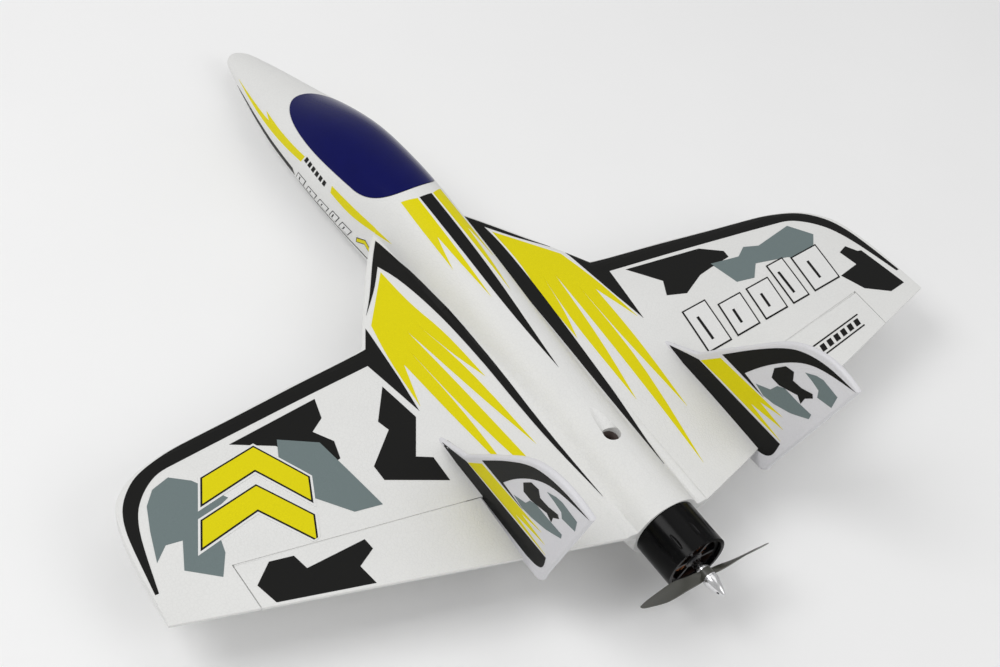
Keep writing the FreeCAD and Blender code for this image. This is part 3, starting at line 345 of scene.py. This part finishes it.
# Heights of the films above the foam, so that each lies clear of the one beneath it
FILM, OVER_FILM, STRAKE_FILM, MARGIN, EDGE, FACE = 0.22, 0.34, 0.36, 0.46, 0.58, 0.70
FILM_ROOT = 0.05


def resampled(outline, step=STEP):
    """Outline with points added along its long edges."""
    points = []
    for (ax, ay), (bx, by) in zip(outline, outline[1:] + outline[:1]):
        count = max(1, round(math.hypot(bx - ax, by - ay) / step))
        points += [(ax + (bx - ax) * k / count, ay + (by - ay) * k / count) for k in range(count)]
    return points


def smooth_outline(outline, rounds=2):
    """Corner-cutting keeps sharp corners marked with a third value and rounds the others."""
    points = [(p[0], p[1], len(p) > 2) for p in outline]
    for _ in range(rounds):
        fresh = []
        for k, (x, y, sharp) in enumerate(points):
            if sharp:
                fresh.append((x, y, True))
                continue
            before, after = points[k - 1], points[(k + 1) % len(points)]
            fresh.append(((before[0] + 3 * x) / 4, (before[1] + 3 * y) / 4, False))
            fresh.append(((after[0] + 3 * x) / 4, (after[1] + 3 * y) / 4, False))
        points = fresh
    return [(x, y) for x, y, _ in points]


def flat_mesh(outline, step=STEP):
    """Triangles that fill an outline, with a grid of points inside it."""
    edge = resampled(outline, step)
    points = [Vector(point) for point in edge]
    low_x, high_x = min(p[0] for p in edge), max(p[0] for p in edge)
    low_y, high_y = min(p[1] for p in edge), max(p[1] for p in edge)
    for i in range(int((high_x - low_x) / step) + 1):
        for j in range(int((high_y - low_y) / step) + 1):
            spot = (low_x + (i + 0.5) * step, low_y + (j + 0.5) * step)
            if inside(spot, edge) and clear_of(spot, edge, step * 0.4):
                points.append(Vector(spot))
    count = len(edge)
    ring = [tuple(range(count))]
    verts, _, faces, _, _, _ = delaunay_2d_cdt(points, [], ring, 1, 1e-4)
    return [(v.x, v.y) for v in verts], [tuple(face) for face in faces]


def inside(spot, edge):
    hit = False
    x, y = spot
    for (ax, ay), (bx, by) in zip(edge, edge[1:] + edge[:1]):
        if (ay > y) != (by > y) and x < (bx - ax) * (y - ay) / (by - ay) + ax:
            hit = not hit
    return hit


def clear_of(spot, edge, gap):
    return all((spot[0] - x) ** 2 + (spot[1] - y) ** 2 > gap * gap for x, y in edge)


def add_piece(name, points, faces, look):
    """Mesh object in the scene with one material."""
    mesh = bpy.data.meshes.new(name)
    mesh.from_pydata(points, [], faces)
    mesh.update()
    mesh.materials.append(MATERIALS[look])
    piece = bpy.data.objects.new(name, mesh)
    bpy.context.scene.collection.objects.link(piece)
    return piece


def decal(name, outline, look, body, nodes, plane=PLAN, lift=FILM, step=STEP):
    """Thin closed film that lies on the nodes' surface, with the outline given in the plane."""
    flat, faces = flat_mesh(outline, step)
    places = []
    for a, b in flat:
        start = plane.point(a, b) * MM
        best = None
        for node in nodes:
            spot, normal, _, distance = surface_tree(node).ray_cast(start, plane.cast)
            if spot and (best is None or distance < best[2]):
                best = (spot, normal, distance)
        places.append(best)
    keep = [face for face in faces if all(places[k] for k in face)]
    if not keep:
        raise RuntimeError(f"{name} misses its surface")
    used = sorted({k for face in keep for k in face})
    number = {k: i for i, k in enumerate(used)}
    tops, bottoms = [], []
    for k in used:
        spot, normal, _ = places[k]
        if normal.dot(plane.cast) > 0:
            normal = -normal
        tops.append(spot + normal * lift * MM)
        bottoms.append(spot - normal * FILM_ROOT * MM)
    count = len(tops)
    skin = []
    for face in keep:
        corners = [number[k] for k in face]
        a, b, c = (tops[k] for k in corners)
        if (b - a).cross(c - a).dot(plane.cast) > 0:
            corners.reverse()
        skin.append(tuple(corners))
    edges = {}
    for face in skin:
        for a, b in zip(face, face[1:] + face[:1]):
            edges[(a, b)] = True
    rim = [(b, a, a + count, b + count) for a, b in edges if (b, a) not in edges]
    under = [tuple(k + count for k in reversed(face)) for face in skin]
    piece = add_piece(name, tops + bottoms, skin + under + rim, look)
    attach(piece, body)


def flip(outline):
    return [(point[0], -point[1], *point[2:]) for point in outline]


def grown(outline, distance):
    """Outline moved out by a distance, with mitred corners."""
    area = sum(ax * by - bx * ay for (ax, ay), (bx, by) in zip(outline, outline[1:] + outline[:1]))
    sign = 1 if area > 0 else -1
    fresh = []
    for k, here in enumerate(outline):
        before, after = Vector(outline[k - 1]), Vector(outline[(k + 1) % len(outline)])
        into, out = (Vector(here) - before).normalized(), (after - Vector(here)).normalized()
        normal = (Vector((into.y, -into.x)) + Vector((out.y, -out.x))) * sign
        reach = distance / max(0.35, normal.length / 2)
        moved = Vector(here) + normal.normalized() * reach
        fresh.append((moved.x, moved.y))
    return fresh


def in_quad(quad, u, v):
    """Point in a four-cornered area: u runs along its top, v from top to bottom."""
    (ax, ay), (bx, by), (cx, cy), (dx, dy) = quad
    x = (1 - v) * ((1 - u) * ax + u * bx) + v * ((1 - u) * dx + u * cx)
    y = (1 - v) * ((1 - u) * ay + u * by) + v * ((1 - u) * dy + u * cy)
    return x, y


def shape_in(quad, points):
    return [in_quad(quad, u, v) for u, v in points]


S = True  # marks a corner that stays sharp
WINGS = {"left": ["wing_left", "fuselage_left"], "right": ["wing_right", "fuselage_right"]}

# Leading-edge band, with the spike that points back from the kink
EDGE_BAND = [
    (-4, 120, S), (-11, 187), (-17, 237), (-22, 285), (-25, 312), (-30, 332), (-36, 348),
    (-45, 360), (-57, 370.5), (-71, 377), (-90, 381.5), (-139, 387.5, S), (-139, 384.5, S),
    (-92, 373.5), (-70, 365), (-57, 355), (-47, 343), (-41, 331), (-39, 312), (-36, 285),
    (-32, 246), (-27, 197), (-21, 129, S), (-82, 119, S), (-47, 114, S), (16, 107, S),
]
# Band along the spine, with the leg that follows the strake's edge
SPINE_BAND_LEFT = [
    (100, 42.5, S), (69, 38.5), (26, 36.5), (-17, 34.5), (-77, 34), (-153, 37), (-221, 35.5, S),
    (-170, 41), (-116, 42.5), (-57, 41.5), (0, 43.5), (50, 50.5), (72, 58.5, S), (50, 76),
    (28, 98.5, S), (45, 84), (81, 58),
]
SPINE_BAND_RIGHT = [
    (100, 42.5, S), (69, 38.5), (26, 37), (-4, 38), (-70, 35), (-134, 32), (-219, 30, S),
    (-148, 39.5), (-68, 47.5), (-1, 54.5), (50, 58), (74, 57, S), (50, 76), (28, 98.5, S), (45, 84),
    (81, 58),
]
FLAME = [
    (65, 60, S), (22, 59), (-20, 51), (-76, 49, S), (-44, 59), (3, 68, S), (-60, 57), (-154, 53, S),
    (-91, 66), (-4, 79, S), (-120, 71), (-232, 63, S), (-120, 84), (-20, 90, S), (-90, 87),
    (-179, 89, S), (-100, 98), (-34, 102, S), (-78, 115.5, S), (-24, 110), (16, 101.5, S),
]
for side, nodes in WINGS.items():
    outlines = [EDGE_BAND, SPINE_BAND_LEFT, FLAME]
    if side == "right":
        outlines = [flip(outline) for outline in (EDGE_BAND, SPINE_BAND_RIGHT, FLAME)]
    edge_band, spine_band, flame = [smooth_outline(outline) for outline in outlines]
    decal(f"edge_band_{side}", edge_band, BLACK, "airframe", nodes)
    decal(f"spine_band_{side}", spine_band, BLACK, "airframe", nodes, lift=STRAKE_FILM)
    decal(f"flame_{side}", flame, YELLOW, "airframe", nodes)

# Stripes on the spine behind the canopy
BODY_NODES = ["fuselage_left", "fuselage_right"]
CENTRE_STRIPE = [(96, 6.3, S), (40, 6.2), (-30, 5), (-107, 0, S), (-30, -5), (40, -6.2), (96, -6.3, S)]
SPINE_FLAME = [
    (102, 21, S), (60, 21.5), (19, 21, S), (40, 18), (53, 15.5, S), (15, 13.5), (-22, 10, S),
    (30, 9), (96, 8.2, S),
]
decal("spine_stripe", smooth_outline(CENTRE_STRIPE), BLACK, "airframe", BODY_NODES)
decal("spine_flame_left", smooth_outline(SPINE_FLAME), YELLOW, "airframe", BODY_NODES)
decal("spine_flame_right", smooth_outline(flip(SPINE_FLAME)), YELLOW, "airframe", BODY_NODES)

# Camouflage patches, which differ from side to side: look, lift, outline
PATCHES_LEFT = {
    "patch_black_outer": (BLACK, FILM, [
        (-42, 271), (-32, 187), (-52, 193), (-61, 207), (-77, 197), (-94, 202), (-97, 218),
        (-60, 240)]),
    "patch_black_inner": (BLACK, FILM, [
        (-46, 131), (-86, 125), (-120, 148), (-127, 136), (-152, 137), (-128, 183), (-113, 183),
        (-87, 152), (-76, 155)]),
    "patch_grey_tip": (GREY, FILM, [
        (-49, 328), (-60, 314), (-87, 298), (-94, 316), (-130, 325), (-148, 337), (-130, 359),
        (-106, 347), (-104, 360), (-115, 373), (-88, 364), (-66, 355), (-54, 344)]),
    "patch_grey_inner": (GREY, OVER_FILM, [(-55, 236), (-73, 208), (-147, 197), (-143, 220), (-97, 257)]),
}
PATCHES_RIGHT = {
    "patch_black_inner": (BLACK, FILM, [
        (-26, 144), (-34, 225), (-47, 245), (-55, 244), (-59, 218), (-62, 203), (-75, 176),
        (-69, 157), (-53, 166)]),
    "patch_grey_middle": (GREY, OVER_FILM, [
        (-55, 222), (-59, 253), (-51, 266), (-56, 281), (-47, 326), (-67, 342), (-79, 331),
        (-99, 320), (-80, 297), (-73, 262), (-87, 248), (-84, 229)]),
    "patch_black_tip": (BLACK, FILM, [
        (-93, 360), (-103, 367), (-104, 371), (-154, 380), (-157, 360), (-143, 338), (-121, 328),
        (-116, 353), (-97, 349)]),
}
for title, (look, lift, outline) in PATCHES_LEFT.items():
    decal(f"{title}_left", outline, look, "airframe", ["wing_left"], lift=lift)
for title, (look, lift, outline) in PATCHES_RIGHT.items():
    decal(f"{title}_right", flip(outline), look, "airframe", ["wing_right"], lift=lift)
ELEVON_PATCH = [
    (-152, 301), (-156, 282), (-170, 279), (-168, 227), (-178, 226), (-187, 243), (-205, 240),
    (-185, 314), (-166, 319)]
decal("patch_black_elevon", ELEVON_PATCH, BLACK, "elevon_left", ["elevon_left"])

# A pair of yellow chevrons, edged in black with a white margin
CHEVRON = [(0.02, 0.36), (0.50, 0.02), (0.98, 0.36), (0.98, 0.62), (0.50, 0.27), (0.02, 0.62)]
CHEVRON_FOOT = [(u, v + 0.43) for u, v in CHEVRON]


def badge(name, quad, points, nodes, plane, rim):
    """A yellow shape with a black edge and a white margin, each film a little above the last."""
    outline = shape_in(quad, points)
    layers = (("margin", 2.2 * rim, PAPER, MARGIN), ("edge", rim, BLACK, EDGE), ("face", 0, YELLOW, FACE))
    for part, grow, look, lift in layers:
        shape = grown(outline, grow) if grow else outline
        decal(f"{name}_{part}", shape, look, "airframe", nodes, plane, lift)


WING_BADGE = [(-32, 291), (-72, 220), (-148, 256), (-114, 337)]
badge("badge_upper", WING_BADGE, CHEVRON, ["wing_left"], PLAN, 1.5)
badge("badge_lower", WING_BADGE, CHEVRON_FOOT, ["wing_left"], PLAN, 1.5)


def outlined_blocks(name, quad, spans, nodes, plane, rim, flipped=False, lifts=(MARGIN, EDGE)):
    """A row of slanted blocks, white with a black edge, each with a slit in its middle."""
    for k, (start, end, top) in enumerate(spans):
        points = [(start + 0.03, top), (end + 0.03, top), (end, 1.0), (start, 1.0)]
        outer = shape_in(quad, points)
        middle = (start + end) / 2
        slit_top = top + 0.25
        slit = shape_in(quad, [
            (middle - 0.004, slit_top), (middle + 0.012, slit_top), (middle, 0.8), (middle - 0.016, 0.8)])
        low, high = lifts
        layers = (
            ("edge", outer, BLACK, low),
            ("face", grown(outer, -rim), PAPER, high),
            ("slit", slit, BLACK, high + 0.12),
        )
        for part, shape, look, lift in layers:
            shape = flip(shape) if flipped else shape
            decal(f"{name}_{k}_{part}", shape, look, "airframe", nodes, plane, lift)


WING_BLOCKS = [(-92, 150), (-73, 338), (-121, 335), (-141, 146)]
BLOCK_SPANS = [
    (0.0, 0.16, 0.0), (0.20, 0.36, 0.22), (0.40, 0.56, 0.22), (0.60, 0.72, 0.0), (0.76, 0.95, 0.1),
]
outlined_blocks("wing_block", WING_BLOCKS, BLOCK_SPANS, ["wing_right"], PLAN, 1.5, flipped=True)

# Two rules with short bars between them on the right elevon
RULES = [(-164, 308), (-181, 210), (-196, 207), (-178, 305)]
RULE_ROWS = [(0.0, 0.10), (0.90, 1.0)]
for k, (top, bottom) in enumerate(RULE_ROWS):
    rule = shape_in(RULES, [(0, top), (1, top), (1, bottom), (0, bottom)])
    decal(f"elevon_rule_{k}", flip(rule), BLACK, "elevon_right", ["elevon_right"])
BARS = 9
for k in range(BARS):
    start = 0.03 + k * 0.94 / BARS
    bar = shape_in(RULES, [(start, 0.26), (start + 0.065, 0.26), (start + 0.065, 0.74), (start, 0.74)])
    decal(f"elevon_bar_{k}", flip(bar), BLACK, "elevon_right", ["elevon_right"])

# Fin films, on both faces of both fins: film, lift, outline of x and z
FIN_FILMS = {
    "base": (BLACK, FILM, smooth_outline([
        (-119, 5, S), (-132, 11), (-152, 19, S), (-257, 21, S), (-256.5, 6), (-249, -1),
        (-236, -3, S), (-180, -1, S)])),
    "stripe": (YELLOW, FILM, [
        (-154, 20), (-170, 38), (-247, 43), (-222, 36.5), (-253, 34), (-215, 28), (-256, 23.5),
        (-180, 21.5)]),
    "crest": (BLACK, FILM, smooth_outline([
        (-170, 42, S), (-195, 72), (-221, 98.5), (-240, 109), (-262, 114.5), (-291, 115.5, S),
        (-263, 109.5), (-244, 102), (-227, 88), (-209, 66), (-197, 46, S), (-223, 42.8, S)])),
    "patch_grey_low": (GREY, FILM, [
        (-211, 47), (-225, 54), (-229, 62), (-236, 66), (-252, 66), (-268, 67), (-268, 62),
        (-258, 56), (-251, 52), (-234, 46), (-222, 44)]),
    "patch_grey_high": (GREY, FILM, [
        (-245, 93), (-255, 99), (-262, 101), (-280, 99), (-280, 87), (-265, 84), (-263, 90),
        (-254, 92)]),
    "patch_black": (BLACK, OVER_FILM, [
        (-219, 73), (-227, 83), (-236, 85), (-239, 78), (-249, 79), (-260, 83), (-262, 80),
        (-256, 74), (-255, 67), (-249, 71), (-230, 64), (-221, 64)]),
}
for side, sign in (("left", 1), ("right", -1)):
    faces = {
        "outer": Plane((-37.5, 220 * sign, 65), (1, 0, 0), (0, 0, 1), (0, -sign, 0)),
        "inner": Plane((-37.5, 70 * sign, 65), (1, 0, 0), (0, 0, 1), (0, sign, 0)),
    }
    for face, plane in faces.items():
        for title, (look, lift, outline) in FIN_FILMS.items():
            decal(f"fin_{side}_{face}_{title}", outline, look, "airframe", [f"fin_{side}"], plane, lift)

# Nose side films: stripe in two lengths with bars between, a low band, blocks and a small badge
NOSE_STRIPE = smooth_outline([
    (367, -33, S), (332, -26.5), (300, -20.5), (289, -17.8, S), (301, -16.5, S), (268, -11),
    (245, -7), (219, -2, S), (222, -10, S), (258, -18), (296, -24.5), (332, -29.5)])
REAR_STRIPE = smooth_outline([
    (173, 1.5, S), (137, 3.5), (111, 5.5), (84, 7, S), (121, -2.5), (146, -6.5), (172, -5.5, S)])
LOW_BAND = smooth_outline([
    (368, -41, S), (356, -38.5), (311, -33), (265, -30), (234, -28.5, S), (232, -36, S),
    (280, -39.5), (330, -42.5)])
LOW_LINE = [(226, -38.5), (108, -36), (108, -37.5), (226, -40)]
NOSE_BARS = [(217, 0), (179, -1), (180, -6.5), (219, -5.5)]
NOSE_BLOCKS = [(226, -24), (132, -20), (137, -33), (229, -35.5)]
NOSE_SPANS = [
    (0.0, 0.15, 0.0), (0.20, 0.36, 0.2), (0.41, 0.57, 0.2), (0.62, 0.74, 0.0), (0.79, 0.95, 0.1),
]
NOSE_BADGE = [(126, -16), (104, -14), (106, -31), (128, -33)]
for side, plane in (("left", SIDE_LEFT), ("right", SIDE_RIGHT)):
    body_node = [f"fuselage_{side}"]
    films = (
        ("stripe", NOSE_STRIPE, YELLOW),
        ("stripe_rear", REAR_STRIPE, YELLOW),
        ("band", LOW_BAND, BLACK),
        ("line", LOW_LINE, BLACK),
    )
    for title, outline, look in films:
        decal(f"nose_{title}_{side}", outline, look, "airframe", body_node, plane)
    for k in range(6):
        start = 0.02 + k * 0.165
        bar = shape_in(NOSE_BARS, [(start, 0), (start + 0.11, 0), (start + 0.11, 1), (start, 1)])
        decal(f"nose_bar_{side}_{k}", bar, BLACK, "airframe", body_node, plane)
    title = f"nose_block_{side}"
    outlined_blocks(title, NOSE_BLOCKS, NOSE_SPANS, body_node, plane, 0.8, lifts=(FILM, OVER_FILM))
    badge(f"nose_badge_{side}", NOSE_BADGE, CHEVRON, body_node, plane, 0.9)

# ---------------------------------------------------------------- painted shade tube in the scoop, and hinge webs


def ring_mesh(name, centre, outer, inner, low, high, look, count=40):
    """Open tube standing on Z, with a wall."""
    points, faces = [], []
    for radius, z in ((outer, low), (outer, high), (inner, high), (inner, low)):
        for k in range(count):
            turn = 2 * math.pi * k / count
            spot = Vector((centre[0] + radius * math.cos(turn), centre[1] + radius * math.sin(turn), z))
            points.append((spot + DATUM) * MM)
    for loop in range(4):
        for k in range(count):
            a, b = loop * count + k, loop * count + (k + 1) % count
            c, d = ((loop + 1) % 4) * count + (k + 1) % count, ((loop + 1) % 4) * count + k
            faces.append((a, b, c, d))
    piece = add_piece(name, points, faces, look)
    for face in piece.data.polygons:
        face.use_smooth = True
    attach(piece, "airframe")


# Dark tube inside the scoop: painted shade of the hollow behind the inlet, not a part of the jet
SHADE_TUBE_CENTRE, SHADE_TUBE_OUTER, SHADE_TUBE_INNER = (-181.5, 0), 7.55, 7.0
SHADE_TUBE_LOW, SHADE_TUBE_HIGH = -24, 11.5
ring_mesh("scoop_painted_shade_tube", SHADE_TUBE_CENTRE, SHADE_TUBE_OUTER, SHADE_TUBE_INNER, SHADE_TUBE_LOW, SHADE_TUBE_HIGH, "scoop_painted_shade")

# Foam web that joins each elevon to its wing along the hinge line
WEB_REACH, WEB_TOP, WEB_BOTTOM = 0.9, -0.7, -1.9
WEB_START, WEB_SPAN = 0.012, 0.976
HINGE_INNER, HINGE_OUTER = Vector((-175, 135, 1.5)), Vector((-142, 327, 1.5))


def hinge_web(side, sign, count=32):
    """Strip of foam across the hinge gap, just under the wing's skin."""
    along = HINGE_OUTER - HINGE_INNER
    ahead = Vector((along.y, -along.x, 0)).normalized()
    points, faces = [], []
    for k in range(count + 1):
        spot = HINGE_INNER + along * (WEB_START + WEB_SPAN * k / count)
        on_wing = spot + ahead * 2
        above = Vector((on_wing.x, on_wing.y * sign, 200)) + DATUM
        hit, _, _, _ = surface_tree(f"wing_{side}").ray_cast(above * MM, Vector((0, 0, -1)))
        spot.z = hit.z / MM - DATUM.z if hit else spot.z
        for reach in (-1, -0.5, 0, 0.5, 1):
            for height in (WEB_TOP, WEB_BOTTOM):
                corner = spot + ahead * reach * WEB_REACH + Vector((0, 0, height))
                points.append((Vector((corner.x, corner.y * sign, corner.z)) + DATUM) * MM)
    ring = [0, 2, 4, 6, 8, 9, 7, 5, 3, 1]
    rows = len(ring)
    for k in range(count):
        for i in range(rows):
            a, b = ring[i], ring[(i + 1) % rows]
            face = (k * rows + a, k * rows + b, (k + 1) * rows + b, (k + 1) * rows + a)
            faces.append(face if sign < 0 else face[::-1])
    ends = tuple(ring), tuple(count * rows + i for i in reversed(ring))
    faces += [end if sign > 0 else end[::-1] for end in ends]
    piece = add_piece(f"hinge_web_{side}", points, faces, "foam")
    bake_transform(piece)


hinge_web("left", 1)
hinge_web("right", -1)

# ---------------------------------------------------------------- camera, floor and light

CAMERA_PLACE = Vector((-0.81987, 0.80688, 1.17720))
CAMERA_RIGHT = Vector((-0.57343, -0.79683, 0.19039))
CAMERA_DOWN = Vector((-0.66643, 0.31853, -0.67410))
CAMERA_FORWARD = Vector((0.47649, -0.51343, -0.71368))
SENSOR = 36.0
FOCAL = 1840.0 / 1000.0 * SENSOR

camera_data = bpy.data.cameras.new("camera")
camera_data.sensor_width = SENSOR
camera_data.lens = FOCAL
camera_data.clip_start = 0.05
camera = bpy.data.objects.new("camera", camera_data)
axes = Matrix((CAMERA_RIGHT, -CAMERA_DOWN, -CAMERA_FORWARD)).transposed()
camera.matrix_world = Matrix.Translation(CAMERA_PLACE) @ axes.to_4x4()
bpy.context.scene.collection.objects.link(camera)
bpy.context.scene.camera = camera


def floor():
    """Plain pale sheet under the model."""
    half = 6.0
    mesh = bpy.data.meshes.new("floor")
    corners = [(-half, -half, 0), (half, -half, 0), (half, half, 0), (-half, half, 0)]
    mesh.from_pydata([Vector(corner) for corner in corners], [], [(0, 1, 2, 3)])
    material, tree, shader = new_material("floor_paper")
    vector = coordinates(tree)
    stops = [(0.3, (0.92, 0.92, 0.92)), (0.7, (0.94, 0.94, 0.94))]
    tone = ramp(tree, noise(tree, vector, 3.0), stops)
    tree.links.new(tone, shader.inputs["Base Color"])
    shader.inputs["Roughness"].default_value = 0.95
    mesh.materials.append(material)
    sheet = bpy.data.objects.new("floor", mesh)
    bpy.context.scene.collection.objects.link(sheet)


def area_light(name, place, target, width, height, power):
    data = bpy.data.lights.new(name, "AREA")
    data.shape = "RECTANGLE"
    data.size, data.size_y = width, height
    data.energy = power
    lamp = bpy.data.objects.new(name, data)
    lamp.location = place
    lamp.rotation_euler = (Vector(target) - Vector(place)).to_track_quat("-Z", "Y").to_euler()
    bpy.context.scene.collection.objects.link(lamp)


floor()
area_light("key", (0.6, 1.6, 2.2), (0, 0, 0.05), 1.6, 1.2, 27)
area_light("fill", (-1.8, -0.6, 1.8), (0, 0, 0.05), 1.6, 1.4, 10)
area_light("top", (0.3, -0.5, 2.6), (0, 0, 0), 2.0, 2.0, 8)

SKY_STRENGTH = 0.48
world = bpy.data.worlds.new("studio")
bpy.context.scene.world = world
world.use_nodes = True
background = world.node_tree.nodes["Background"]
background.inputs["Color"].default_value = (1, 1, 1, 1)
background.inputs["Strength"].default_value = SKY_STRENGTH
bpy.context.scene.view_settings.view_transform = "Standard"
